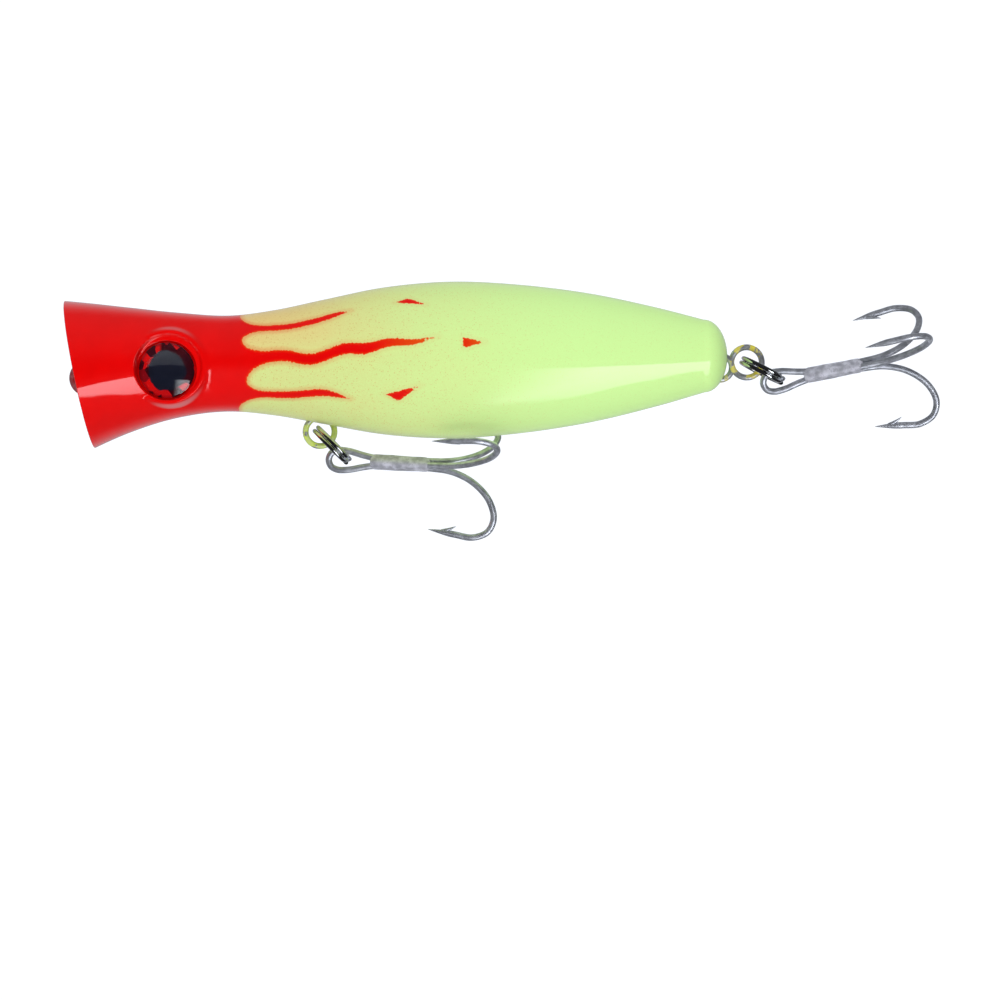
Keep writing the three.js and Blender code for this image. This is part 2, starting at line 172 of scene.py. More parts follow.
def joined(parts: Sequence[bmesh.types.BMesh]) -> bmesh.types.BMesh:
    """Puts several meshes into one.

    Args:
        parts: the meshes. The first one takes in the others, which are freed.

    Returns:
        The first mesh.
    """
    whole = parts[0]
    for part in parts[1:]:
        spare = bpy.data.meshes.new("part")
        part.to_mesh(spare)
        part.free()
        whole.from_mesh(spare)
        bpy.data.meshes.remove(spare)
    return whole


def turned(profile: Sequence[Sequence[float]], steps: int) -> bmesh.types.BMesh:
    """Spins a profile about the X axis.

    Args:
        profile: places and radii along the axis; an end with a radius of 0 closes.
        steps: the faces around.

    Returns:
        The turned surface, with its normals outwards.
    """
    bm = bmesh.new()
    line = [bm.verts.new((x, 0, radius)) for x, radius in profile]
    edges = [bm.edges.new(pair) for pair in zip(line, line[1:])]
    bmesh.ops.spin(
        bm,
        geom=line + edges,
        cent=(0, 0, 0),
        axis=(1, 0, 0),
        angle=2 * math.pi,
        steps=steps,
        use_merge=True,
    )
    bmesh.ops.remove_doubles(bm, verts=bm.verts, dist=1e-4)
    bmesh.ops.recalc_face_normals(bm, faces=bm.faces)
    return bm


def boundary_edges(bm: bmesh.types.BMesh) -> list[bmesh.types.BMEdge]:
    """The open edges of a mesh."""
    return [edge for edge in bm.edges if edge.is_boundary]


def edges_of(bm: bmesh.types.BMesh, faces: Sequence[bmesh.types.BMFace]) -> list[bmesh.types.BMEdge]:
    """The edges of some faces, in the mesh's own order."""
    chosen = {edge for face in faces for edge in face.edges}
    return [edge for edge in bm.edges if edge in chosen]


def finished(
    bm: bmesh.types.BMesh,
    name: str,
    material: bpy.types.Material,
    body: str,
    nodes: Sequence[str],
    sharp: float = 40,
) -> bpy.types.Object:
    """Makes a mesh in millimetres into a dressed piece of the lure.

    Args:
        bm: the mesh, which is freed.
        name: the piece's name.
        material: its finish.
        body: the CAD body that it rides on.
        nodes: the CAD nodes that it stands for.
        sharp: the angle past which an edge shades sharp, in degrees.

    Returns:
        The piece.
    """
    bmesh.ops.transform(bm, matrix=TO_FRAME, verts=bm.verts)
    mesh = bpy.data.meshes.new(name)
    bm.to_mesh(mesh)
    bm.free()
    mesh.shade_smooth()
    mesh.set_sharp_from_angle(angle=math.radians(sharp))
    mesh.materials.append(material)
    piece = bpy.data.objects.new(name, mesh)
    bpy.context.collection.objects.link(piece)
    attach(piece, body)
    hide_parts(*nodes)
    log.info("%s: %d faces on %s", name, len(mesh.polygons), body)
    return piece


# ---------------------------------------------------------------- shader helpers
def srgb(red: int, green: int, blue: int) -> tuple[float, float, float, float]:
    """Turns a display colour into the linear one that shaders take.

    Args:
        red: the red channel, 0 to 255.
        green: the green channel.
        blue: the blue channel.

    Returns:
        The linear colour, opaque.
    """
    channels = (channel / 255 for channel in (red, green, blue))
    linear = [c / 12.92 if c <= 0.04045 else ((c + 0.055) / 1.055) ** 2.4 for c in channels]
    return (*linear, 1.0)


class Tree:
    """Adds and joins the nodes of one material, group or world."""

    def __init__(self, tree: bpy.types.NodeTree) -> None:
        """Starts on an empty node tree."""
        self.tree = tree
        self.tree.nodes.clear()

    def add(self, kind: str, settings: dict | None = None, **inputs: object) -> bpy.types.Node:
        """Adds a node.

        Args:
            kind: the node's type without its ShaderNode prefix.
            settings: the node's own properties.
            inputs: values or sockets for its inputs, with _ for a blank in their names.

        Returns:
            The node.
        """
        node = self.tree.nodes.new("ShaderNode" + kind)
        for name, value in (settings or {}).items():
            setattr(node, name, value)
        for name, value in inputs.items():
            self.set(node.inputs[name.replace("_", " ")], value)
        return node

    def set(self, socket: bpy.types.NodeSocket, value: object) -> None:
        """Fills one input.

        Args:
            socket: the input.
            value: a plain value, or another node's output to join it to.
        """
        if isinstance(value, bpy.types.NodeSocket):
            self.tree.links.new(value, socket)
        else:
            socket.default_value = value

    def math(self, operation: str, *values: object) -> bpy.types.NodeSocket:
        """Adds a Math node.

        Args:
            operation: what it works out.
            values: its inputs in order.

        Returns:
            The result.
        """
        node = self.add("Math", {"operation": operation})
        for socket, value in zip(node.inputs, values):
            self.set(socket, value)
        return node.outputs[0]

    def times(self, first: object, second: object) -> bpy.types.NodeSocket:
        """The product of two values."""
        return self.math("MULTIPLY", first, second)

    def scaled(self, value: object, factor: float, offset: object) -> bpy.types.NodeSocket:
        """A value times a factor, plus an offset."""
        return self.math("MULTIPLY_ADD", value, factor, offset)

    def rest(self, share: object) -> bpy.types.NodeSocket:
        """What is left of 1 after a share."""
        return self.math("SUBTRACT", 1.0, share)

    def step(self, value: object, low: float, high: float) -> bpy.types.NodeSocket:
        """A smooth mask between two levels.

        Args:
            value: what is looked at.
            low: the level where the mask is 0.
            high: the level where it is 1, which may lie below the other.

        Returns:
            The mask.
        """
        falls = low > high
        settings = {"interpolation_type": "SMOOTHSTEP"}
        node = self.add("MapRange", settings, Value=value, From_Min=min(low, high), From_Max=max(low, high))
        self.set(node.inputs["To Min"], float(falls))
        self.set(node.inputs["To Max"], float(not falls))
        return node.outputs[0]

    def mix(self, factor: object, first: object, second: object) -> bpy.types.NodeSocket:
        """Blends two colours.

        Args:
            factor: the second colour's share.
            first: the first colour.
            second: the second colour.

        Returns:
            The blend.
        """
        node = self.add("Mix", {"data_type": "RGBA"})
        for socket, value in zip((node.inputs[0], node.inputs[6], node.inputs[7]), (factor, first, second)):
            self.set(socket, value)
        return node.outputs[2]

    def noise(self, scale: object, detail: float = 2, **inputs: object) -> bpy.types.NodeSocket:
        """Noise in the piece's own place, with a scale in cycles for each metre."""
        place = self.add("TexCoord").outputs["Object"]
        return self.add("TexNoise", Vector=place, Scale=scale, Detail=detail, **inputs).outputs[0]

    def group(self, tree: bpy.types.NodeTree, **inputs: object) -> bpy.types.NodeSocket:
        """The first output of a node group."""
        return self.add("Group", {"node_tree": tree}, **inputs).outputs[0]

    def blended(self, factor: object, first: bpy.types.Node, second: bpy.types.Node) -> None:
        """Joins a mix of two shaders to the material's output.

        Args:
            factor: the second shader's share.
            first: the first shader.
            second: the second shader.
        """
        both = self.add("MixShader")
        for socket, value in zip(both.inputs, (factor, first.outputs[0], second.outputs[0])):
            self.set(socket, value)
        self.add("OutputMaterial", Surface=both.outputs[0])

    def bump(self, height: object, distance: float, strength: float = 1) -> bpy.types.NodeSocket:
        """The normal of a surface roughened by a height."""
        return self.add("Bump", Height=height, Distance=distance, Strength=strength).outputs[0]

    def surface(self, **inputs: object) -> None:
        """Joins a Principled surface to the material's output."""
        shader = self.add("BsdfPrincipled", None, **inputs)
        self.add("OutputMaterial", Surface=shader.outputs[0])


def mask_group(
    name: str, build: Callable[[Tree, bpy.types.Node], bpy.types.NodeSocket], **inputs: float
) -> bpy.types.NodeTree:
    """Makes a node group that puts out one mask.

    Args:
        name: the group's name.
        build: draws the mask from the group's input node and returns it.
        inputs: the group's inputs and their first values.

    Returns:
        The group.
    """
    group = bpy.data.node_groups.new(name, "ShaderNodeTree")
    for title, value in inputs.items():
        socket = group.interface.new_socket(
            name=title.replace("_", " "), in_out="INPUT", socket_type="NodeSocketFloat"
        )
        socket.default_value = value
    group.interface.new_socket(name="Mask", in_out="OUTPUT", socket_type="NodeSocketFloat")
    tree = Tree(group)
    start = group.nodes.new("NodeGroupInput")
    end = group.nodes.new("NodeGroupOutput")
    tree.set(end.inputs[0], build(tree, start))
    return group


def speckle_mask(tree: Tree, start: bpy.types.Node) -> bpy.types.NodeSocket:
    """Draws round specks, thinned out by Cover.

    Args:
        tree: the group's nodes.
        start: the group's inputs.

    Returns:
        The mask.
    """
    place = tree.add("TexCoord").outputs["Object"]
    cells = tree.add("TexVoronoi", Vector=place, Scale=start.outputs["Scale"])
    spot = tree.math("SUBTRACT", start.outputs["Size"], cells.outputs["Distance"])
    lot = tree.add("SeparateColor", None, Color=cells.outputs["Color"]).outputs[0]
    kept = tree.math("GREATER_THAN", start.outputs["Cover"], lot)
    return tree.times(tree.step(spot, -0.06, 0.06), kept)


def worn_mask(tree: Tree, start: bpy.types.Node) -> bpy.types.NodeSocket:
    """Draws ragged patches where paint has chipped off, whose share grows with Wear.

    Args:
        tree: the group's nodes.
        start: the group's inputs.

    Returns:
        The mask.
    """
    broad = tree.noise(start.outputs["Scale"], 4, Roughness=0.7)
    bare_from = tree.math("SUBTRACT", start.outputs["Wear"], 1.0)
    return tree.step(tree.math("ADD", broad, bare_from), -0.02, 0.02)


SPECKLES = mask_group("speckles", speckle_mask, Scale=2500.0, Size=0.3, Cover=0.3)
WEAR = mask_group("paint_wear", worn_mask, Scale=600.0, Wear=0.5)


def new_material(name: str) -> tuple[bpy.types.Material, Tree]:
    """Starts a material.

    Args:
        name: the material's name.

    Returns:
        The empty material and its tree.
    """
    material = bpy.data.materials.new(name)
    material.use_nodes = True
    return material, Tree(material.node_tree)


# ---------------------------------------------------------------- finishes
@dataclass(frozen=True)
class BodyPaint:
    """A red head that flames out over a pale green body, under clear gloss."""

    red: tuple = srgb(236, 0, 0)
    red_dark: tuple = srgb(208, 0, 0)
    orange: tuple = srgb(232, 88, 10)
    tan: tuple = srgb(240, 208, 134)
    green: tuple = srgb(218, 235, 150)
    tail_green: tuple = srgb(213, 255, 162)
    dust: tuple = srgb(212, 164, 84)
    edge_rag: float = 0.3
    # Where each colour starts and is full, in metres aft of the line tie or above it.
    tail_fade: tuple = (0.034, 0.094)
    neck_fade: tuple = (0.062, 0.026)
    back_fade: tuple = (0.0, 0.009)

    def material(self) -> bpy.types.Material:
        """Builds the paint from the flame and ember values on the mesh.

        Returns:
            The material.
        """
        material, tree = new_material("body_paint")
        ember = tree.add("Attribute", {"attribute_name": "ember"}).outputs["Fac"]
        place = tree.add("TexCoord").outputs["Object"]
        axes = tree.add("SeparateXYZ", None, Vector=place)
        rag = tree.times(tree.math("SUBTRACT", tree.noise(2600, 4), 0.5), self.edge_rag * 2)
        edge = tree.math("ADD", tree.add("Attribute", {"attribute_name": "flame_edge"}).outputs["Fac"], rag)
        painted = tree.step(edge, 0.07, -0.07)

        tail = tree.step(axes.outputs[0], *self.tail_fade)
        neck = tree.step(axes.outputs[0], *self.neck_fade)
        back = tree.step(axes.outputs[2], *self.back_fade)
        warm = tree.times(neck, tree.scaled(back, 0.95, 0.05))
        base = tree.mix(tail, self.green, self.tail_green)
        base = tree.mix(warm, base, self.tan)
        cloud = tree.step(tree.noise(160, 3), 0.35, 0.7)
        dusty = tree.rest(tail)
        base = tree.mix(tree.times(cloud, tree.times(dusty, 0.12)), base, self.tan)
        grain = tree.step(tree.noise(5200, 3), 0.3, 0.75)
        base = tree.mix(tree.times(grain, tree.scaled(dusty, 0.14, 0.05)), base, self.dust)
        specks = tree.group(SPECKLES, Scale=3400.0, Size=0.34, Cover=0.22)
        base = tree.mix(tree.times(specks, tree.scaled(dusty, 0.45, 0.1)), base, self.dust)
        near_neck = tree.times(neck, 0.4)
        halo = tree.times(tree.step(edge, 1.1, 0.0), tree.math("ADD", near_neck, 0.08))
        base = tree.mix(halo, base, self.orange)

        deep = tree.step(tree.noise(240, 3), 0.3, 0.75)
        red = tree.mix(tree.times(deep, 0.25), self.red, self.red_dark)
        red = tree.mix(tree.times(tree.step(edge, -0.5, 0.0), 0.3), red, self.orange)
        red = tree.mix(tree.times(ember, 0.85), red, self.orange)
        colour = tree.mix(painted, base, red)
        peel = tree.math("ADD", tree.noise(900, 2), tree.times(painted, 0.5))
        tree.surface(
            Base_Color=colour,
            Roughness=tree.math("SUBTRACT", 0.42, tree.times(painted, 0.1)),
            Specular_IOR_Level=0.1,
            Coat_Weight=tree.math("ADD", 0.8, tree.times(painted, 0.2)),
            Coat_Roughness=0.035,
            Normal=tree.bump(peel, 0.000012, 0.5),
        )
        return material


@dataclass(frozen=True)
class PaintedWire:
    """Stainless wire with body paint on it, chipped where things rub."""

    name: str
    paint: tuple
    wear: float

    def material(self) -> bpy.types.Material:
        """Builds the painted, chipped wire.

        Returns:
            The material.
        """
        material, tree = new_material(self.name)
        bare = tree.group(WEAR, Scale=300.0, Wear=self.wear)
        steel = tree.mix(tree.noise(3000, 2), srgb(150, 152, 158), srgb(216, 218, 222))
        shade = tree.mix(tree.step(tree.noise(900, 3), 0.35, 0.7), self.paint, steel)
        paint = tree.mix(0.25, self.paint, shade)
        tree.surface(
            Base_Color=tree.mix(bare, paint, steel),
            Metallic=tree.times(bare, 0.7),
            Roughness=tree.math("ADD", 0.22, tree.times(tree.noise(1500, 3), 0.2)),
            Coat_Weight=tree.rest(bare),
            Coat_Roughness=0.08,
            Normal=tree.bump(bare, 0.00005, 0.6),
        )
        return material


@dataclass(frozen=True)
class Metal:
    """Bare or plated metal with a fine, uneven polish."""

    name: str
    dark: tuple
    light: tuple
    roughness: float
    grain: float = 2400
    pitting: float = 0.25
    metallic: float = 1.0

    def material(self) -> bpy.types.Material:
        """Builds the metal.

        Returns:
            The material.
        """
        material, tree = new_material(self.name)
        patches = tree.step(tree.noise(self.grain / 4, 3), 0.3, 0.7)
        specks = tree.group(SPECKLES, Scale=self.grain, Size=0.35, Cover=self.pitting)
        colour = tree.mix(patches, self.dark, self.light)
        colour = tree.mix(tree.times(specks, 0.5), colour, self.dark)
        polish = tree.noise(self.grain, 3)
        tree.surface(
            Base_Color=colour,
            Metallic=self.metallic,
            Roughness=tree.scaled(polish, self.roughness, self.roughness),
            Normal=tree.bump(polish, 0.00002, self.roughness),
        )
        return material


@dataclass(frozen=True)
class EyeFoil:
    """Crumpled red foil printed with a dark pupil of uneven outline, with painted glints that glow and
    painted shade round its edge.
    """

    centre: tuple
    pupil: float = 3.35

    def material(self) -> bpy.types.Material:
        """Builds the foil round the eye's centre.

        Returns:
            The material.
        """
        material, tree = new_material("eye_foil")
        place = tree.add("TexCoord").outputs["Object"]
        offset = tree.add("Mapping", {"vector_type": "POINT"}, Vector=place)
        offset.inputs["Location"].default_value = [-value for value in self.centre]
        axes = tree.add("SeparateXYZ", None, Vector=offset.outputs[0])
        flat = tree.add("CombineXYZ", None, X=axes.outputs[0], Z=axes.outputs[2]).outputs[0]
        length = tree.add("VectorMath", {"operation": "LENGTH"})
        tree.set(length.inputs[0], flat)
        radius = tree.times(length.outputs["Value"], 1 / MM)
        folds = tree.add("TexVoronoi", {"feature": "F1"}, Vector=flat, Scale=620.0, Randomness=1.0)
        fold = tree.add("SeparateColor", None, Color=folds.outputs["Color"])
        wobble = tree.times(tree.math("SUBTRACT", tree.noise(480, 2), 0.5), 1.6)
        pupil = tree.step(tree.math("ADD", radius, wobble), self.pupil + 0.15, self.pupil - 0.15)
        # Painted highlight: bright red glint patches on the folds, more of them on the eye's front side,
        # where light catches the foil.
        forward = tree.step(axes.outputs[0], 0.0015, -0.0022)
        lit = tree.scaled(forward, 0.45, fold.outputs[0])
        patch = tree.step(lit, 0.78, 0.9)
        # Painted shade: the foil darkens towards its edge, where the lens's edge meets the socket.
        rim = tree.step(radius, 4.2, 4.9)
        foil = tree.mix(patch, srgb(74, 2, 18), srgb(244, 14, 14))
        foil = tree.mix(tree.times(fold.outputs[1], 0.5), foil, srgb(52, 22, 44))
        foil = tree.mix(rim, foil, srgb(58, 6, 22))
        unprinted = tree.rest(pupil)
        tree.surface(
            Base_Color=tree.mix(pupil, foil, srgb(22, 26, 44)),
            Metallic=tree.times(unprinted, 0.45),
            Roughness=0.3,
            # Painted glow: the glint patches also give off light of their own.
            Emission_Color=tree.mix(tree.times(patch, unprinted), srgb(0, 0, 0), srgb(230, 10, 10)),
            Emission_Strength=0.35,
            Normal=tree.bump(fold.outputs[2], 0.00008, 0.5),
        )
        return material


@dataclass(frozen=True)
class LensResin:
    """Clear cast resin."""

    roughness: float = 0.015

    def material(self) -> bpy.types.Material:
        """Builds the resin, which lets light through to the foil below.

        Returns:
            The material.
        """
        material, tree = new_material("eye_resin")
        haze = tree.times(tree.noise(300, 2), 0.02)
        glass = tree.add(
            "BsdfPrincipled",
            None,
            Base_Color=srgb(250, 250, 252),
            Roughness=tree.math("ADD", self.roughness, haze),
            IOR=1.5,
            Transmission_Weight=1.0,
        )
        clear = tree.add("BsdfTransparent")
        shadow = tree.add("LightPath").outputs["Is Shadow Ray"]
        tree.blended(shadow, glass, clear)
        return material


# ---------------------------------------------------------------- the painted body
FAR_FROM_EDGE = 30.0


@dataclass(frozen=True)
class Streak:
    """A lick of red paint along a side. Its spine gives stations, heights and half-widths."""

    spine: tuple

    def edge(self, way: int, foot: float) -> np.ndarray:
        """One of its edges, from the tip forwards to a station.

        Args:
            way: 1 for the upper edge, -1 for the lower one.
            foot: the station where the edge ends.

        Returns:
            Stations and heights.
        """
        line = smooth_path(self.spine, 8)[::-1]
        kept = line[line[:, 0] >= foot]
        return np.column_stack([kept[:, 0], kept[:, 1] + way * kept[:, 2]])


@dataclass(frozen=True)
class Lobe:
    """The round front of a bare patch: its nose, and the stations where its two sides begin."""

    nose: tuple
    upper_side: float
    lower_side: float

    def rounding(self, shoulder: np.ndarray) -> np.ndarray:
        """A quarter of an ellipse from the end of a side to the nose.

        Args:
            shoulder: the station and height where the side ends.

        Returns:
            Stations and heights.
        """
        turn = np.radians(np.linspace(0, 90, 9))
        across = np.column_stack([1 - np.sin(turn), np.cos(turn)])
        return np.array(self.nose) + (shoulder - np.array(self.nose)) * across


@dataclass(frozen=True)
class HeadFlames:
    """The edge of the red head: streaks that reach aft, with round bare lobes between them."""

    streaks: tuple = (
        Streak(((35, 6, 0.5), (41, 6.25, 0.5), (46, 7.25, 0.5), (49.5, 8.25, 0.4), (52.25, 9, 0))),
        Streak(
            (
                (35, 0.75, 1),
                (40, 1, 1),
                (45, 0.25, 1),
                (51, 2, 1),
                (55, 2, 1),
                (59, 3, 0.75),
                (63.5, 3, 0.5),
                (68, 4, 0),
            )
        ),
        Streak(((35, -5.75, 0.5), (41, -6, 0.6), (47, -5.75, 0.6), (49.5, -6.25, 0.4), (52, -7, 0))),
    )
    lobes: tuple = (
        Lobe((32, 8.5), 36, 36),
        Lobe((32.5, 3.75), 36, 36.5),
        Lobe((33.25, -3.5), 39, 36.5),
        Lobe((31.5, -8.5), 36, 36),
    )
    # Where the paint begins to warm to orange, and where it is warmest.
    warms: tuple = (55, 68)

    def outline(self) -> np.ndarray:
        """Its edge from the back down to the belly.

        Returns:
            Stations and heights.
        """
        parts = []
        for index, lobe in enumerate(self.lobes):
            if index > 0:
                side = self.streaks[index - 1].edge(-1, lobe.upper_side)
                parts += [side, lobe.rounding(side[-1])]
            if index < len(self.streaks):
                side = self.streaks[index].edge(1, lobe.lower_side)
                parts += [lobe.rounding(side[-1])[::-1], side[::-1]]
        return np.vstack(parts)

    def closed(self, edge: np.ndarray) -> np.ndarray:
        """Takes an unrolled edge round the rest of the head.

        Args:
            edge: the outline, unrolled.

        Returns:
            The whole outline of the red paint.
        """
        far = FAR_FROM_EDGE
        back, belly = self.lobes[0].nose[0], self.lobes[-1].nose[0]
        return np.vstack([edge, [(belly, -far), (-far, -far), (-far, far), (back, far)]])


@dataclass(frozen=True)
class Fleck:
    """A three-cornered splash of red paint behind the flames."""

    corners: tuple
    warms: tuple = (300, 400)

    def outline(self) -> np.ndarray:
        """Steps along its three sides.

        Returns:
            Stations and heights.
        """
        corners = np.array(self.corners, float)
        shares = np.linspace(0, 1, 6, endpoint=False)[:, None]
        return np.vstack([a + (b - a) * shares for a, b in zip(corners, np.roll(corners, -1, axis=0))])

    def closed(self, edge: np.ndarray) -> np.ndarray:
        """A fleck's outline is whole already."""
        return edge


RED_PAINT = (
    HeadFlames(),
    Fleck(((60, 10.25), (62.5, 11), (65.75, 9.75))),
    Fleck(((72.25, 3.75), (72.25, 1.75), (76.25, 2.75)), (71, 76)),
    Fleck(((58.25, -6.25), (60.5, -7.5), (64.5, -4.75))),
)


@dataclass
class PaintedBody:
    """The moulded body: a turned form with a wide head, a cupped mouth and two eye sockets."""

    side_outline: tuple = (
        (-2, 15.3),
        (5.7, 12.95),
        (12, 11.25),
        (20, 9.6),
        (29.5, 8.7),
        (38, 9.55),
        (47, 11.3),
        (58, 13.35),
        (70, 14.2),
        (82, 13.5),
        (95, 11.7),
        (107, 9.0),
        (115.8, 6.6),
    )
    length: float = 120
    wide_head: float = 0.11
    round_from: float = 34
    round_at: float = 66
    chin_station: float = 26
    chin_drop: float = 0.0042
    mouth_station: float = 2.7
    mouth_height: float = -1.45
    mouth_lean: float = 10.6
    # Shares of the mouth's size and depths behind its plane, from the rim to the cup's bottom.
    cup: tuple = (
        (0.994, -0.1),
        (0.98, -0.14),
        (0.966, 0.0),
        (0.955, 0.35),
        (0.935, 1.0),
        (0.895, 2.0),
        (0.82, 3.2),
        (0.72, 4.2),
        (0.6, 5.05),
        (0.46, 5.7),
        (0.3, 6.1),
        (0.15, 6.28),
        (0.04, 6.3),
        (0.0, 6.3),
    )
    eye_station: float = 18.95
    eye_height: float = -1.25
    socket_floor: float = 8.55
    socket_radius: float = 5.12
    rim_shift: tuple = (0.35, 0.55)
    rim_radius: float = 6.3
    rim_blend: float = 1.2
    rim_top: float = 10.05
    shelf: float = 9.5
    shelf_rise: tuple = (-0.75, -0.1)
    socket_wall: float = 0.3
    around: int = 168
    per_span: int = 22
    seam: float = 0.012
    seam_round: float = 0.05
    flames_between: tuple = (29, 80)
    flames_middle: float = 50

    def radius(self, stations: np.ndarray) -> np.ndarray:
        """Half the body's height at each station."""
        line = smooth_path(self.side_outline, 24)
        return np.interp(stations, line[:, 0], line[:, 1])

    def centre(self, stations: np.ndarray) -> np.ndarray:
        """The height of the section's centre at each station."""
        ahead = np.clip(self.chin_station - np.asarray(stations, float), 0, None)
        return -self.chin_drop * ahead**2

    def form(self) -> bmesh.types.BMesh:
        """Turns the side outline and gives it its oval section and dropped chin.

        Returns:
            The closed form, before the mouth and the eyes.
        """
        side = smooth_path(self.side_outline, self.per_span)
        start, end_radius = side[-1]
        turns = np.radians(np.linspace(0, 90, 15))[1:]
        tail = [(start + (self.length - start) * math.sin(t), end_radius * math.cos(t)) for t in turns]
        tail[-1] = (self.length, 0)
        bm = turned([*map(tuple, side), *tail], self.around)
        for vert in bm.verts:
            station = vert.co.x
            widened = 1 + self.wide_head * (1 - float(smoothstep(station, self.round_from, self.round_at)))
            vert.co.y *= widened
            vert.co.z += float(self.centre(station))
        return bm

    def cut_mouth(self, bm: bmesh.types.BMesh) -> None:
        """Cuts the body along the leaning mouth plane and draws its edge in to a cup.

        Args:
            bm: the body, in millimetres.
        """
        lean = math.radians(self.mouth_lean)
        inwards = Vector((math.cos(lean), 0, math.sin(lean)))
        middle = Vector((self.mouth_station, 0, self.mouth_height))
        everything = [*bm.verts, *bm.edges, *bm.faces]
        bmesh.ops.bisect_plane(
            bm, geom=everything, dist=0.02, plane_co=middle, plane_no=-inwards, clear_outer=True
        )
        bmesh.ops.remove_doubles(bm, verts=bm.verts, dist=0.05)
        edges = boundary_edges(bm)
        share, depth = 1.0, 0.0
        for next_share, next_depth in self.cup:
            grown = bmesh.ops.extrude_edge_only(bm, edges=edges)["geom"]
            edges = [item for item in grown if isinstance(item, bmesh.types.BMEdge)]
            for vert in {vert for edge in edges for vert in edge.verts}:
                flat = vert.co - middle - inwards * depth
                vert.co = middle + flat * (next_share / share) + inwards * next_depth
            share, depth = max(next_share, 1e-6), next_depth
        bmesh.ops.remove_doubles(bm, verts=bm.verts, dist=1e-3)
        bmesh.ops.recalc_face_normals(bm, faces=bm.faces)

    def from_eye(self, at: Vector) -> float:
        """How far a point lies from the eyes' common axis."""
        return math.hypot(at.x - self.eye_station, at.z - self.eye_height)

    def sink_eyes(self, bm: bmesh.types.BMesh) -> None:
        """Refines the skin round each eye and moulds a raised rim and a socket into it.

        Args:
            bm: the body, in millimetres.
        """
        reach = self.rim_radius + self.rim_blend
        for _ in range(2):
            near = [face for face in bm.faces if self.from_eye(face.calc_center_median()) < reach]
            bmesh.ops.subdivide_edges(bm, edges=edges_of(bm, near), cuts=1, use_grid_fill=True)
            reach -= 0.4
        for vert in bm.verts:
            if abs(vert.co.y) > 2:
                vert.co.y = math.copysign(self.socket_depth(vert.co), vert.co.y)

    def socket_depth(self, at: Vector) -> float:
        """How far out the skin lies near an eye.

        Args:
            at: a point of the skin before the socket is made.

        Returns:
            Its new distance from the centre plane.
        """
        skin = abs(at.y)
        across, up = at.x - self.eye_station, at.z - self.eye_height
        from_rim = math.hypot(across - self.rim_shift[0], up - self.rim_shift[1]) - self.rim_radius
        if from_rim > self.rim_blend:
            return skin
        crest = max(skin, self.rim_top)
        if from_rim > 0:
            return skin + (crest - skin) * float(1 - smoothstep(from_rim, 0.1, self.rim_blend))
        ledge = self.shelf + (crest - self.shelf) * float(smoothstep(from_rim, *self.shelf_rise))
        risen = float(smoothstep(self.from_eye(at) - self.socket_radius, 0.0, self.socket_wall))
        return self.socket_floor + (ledge - self.socket_floor) * risen

    def half(self, whole: bmesh.types.BMesh, side: Side) -> bmesh.types.BMesh:
        """One closed half of the body, with a small bevel along the seam.

        Args:
            whole: the whole body.
            side: which half to keep.

        Returns:
            The half.
        """
        bm = whole.copy()
        bmesh.ops.bisect_plane(
            bm,
            geom=[*bm.verts, *bm.edges, *bm.faces],
            dist=1e-4,
            plane_co=(0, side.value * self.seam, 0),
            plane_no=(0, -side.value, 0),
            clear_outer=True,
        )
        flats = bmesh.ops.edgeloop_fill(bm, edges=boundary_edges(bm))["faces"]
        bmesh.ops.bevel(
            bm,
            geom=edges_of(bm, flats),
            offset=self.seam_round,
            segments=2,
            profile=0.5,
            affect="EDGES",
            material=-1,
            clamp_overlap=True,
        )
        large = [flat for flat in bm.faces if len(flat.verts) > 8]
        bmesh.ops.triangulate(bm, faces=large)
        bmesh.ops.recalc_face_normals(bm, faces=bm.faces)
        return bm

    def unrolled(self, stations: np.ndarray, heights: np.ndarray) -> np.ndarray:
        """Lays points of a side out flat.

        Args:
            stations: their stations.
            heights: their heights.

        Returns:
            Their stations, and their distances round the skin from the middle of the side.
        """
        radii = self.radius(stations)
        raised = np.clip((heights - self.centre(stations)) / radii, -1, 1)
        return np.column_stack([stations, radii * np.arcsin(raised)])

    def mark_flames(self, bm: bmesh.types.BMesh) -> None:
        """Gives each vertex its distance from the red paint's edge, and how orange that paint is.

        Args:
            bm: the body, in millimetres.
        """
        places = np.array([vert.co for vert in bm.verts])
        flame = np.where(places[:, 0] < self.flames_middle, -FAR_FROM_EDGE, FAR_FROM_EDGE)
        ember = np.zeros(len(places))
        first, last = self.flames_between
        near = (places[:, 0] > first) & (places[:, 0] < last)
        at = self.unrolled(places[near, 0], places[near, 2])
        nearest = np.full(len(at), np.inf)
        warmth = np.zeros(len(at))
        for patch in RED_PAINT:
            line = patch.outline()
            outline = patch.closed(self.unrolled(line[:, 0], line[:, 1]))
            distance = signed_distance(at, outline)
            warmth = np.where(distance < nearest, smoothstep(at[:, 0], *patch.warms), warmth)
            nearest = np.minimum(nearest, distance)
        flame[near] = nearest
        ember[near] = warmth
        for name, values in (("flame_edge", flame), ("ember", ember)):
            layer = bm.verts.layers.float.new(name)
            for vert, value in zip(bm.verts, values):
                vert[layer] = float(value)

    def build(self) -> None:
        """Models and paints both halves."""
        whole = self.form()
        self.cut_mouth(whole)
        self.sink_eyes(whole)
        bmesh.ops.recalc_face_normals(whole, faces=whole.faces)
        paint = BodyPaint().material()
        for side in Side:
            title = side.name.lower()
            half = self.half(whole, side)
            self.mark_flames(half)
            finished(half, f"painted_shell_{title}", paint, "lure_body", [f"shell_{title}"], 50)
        whole.free()


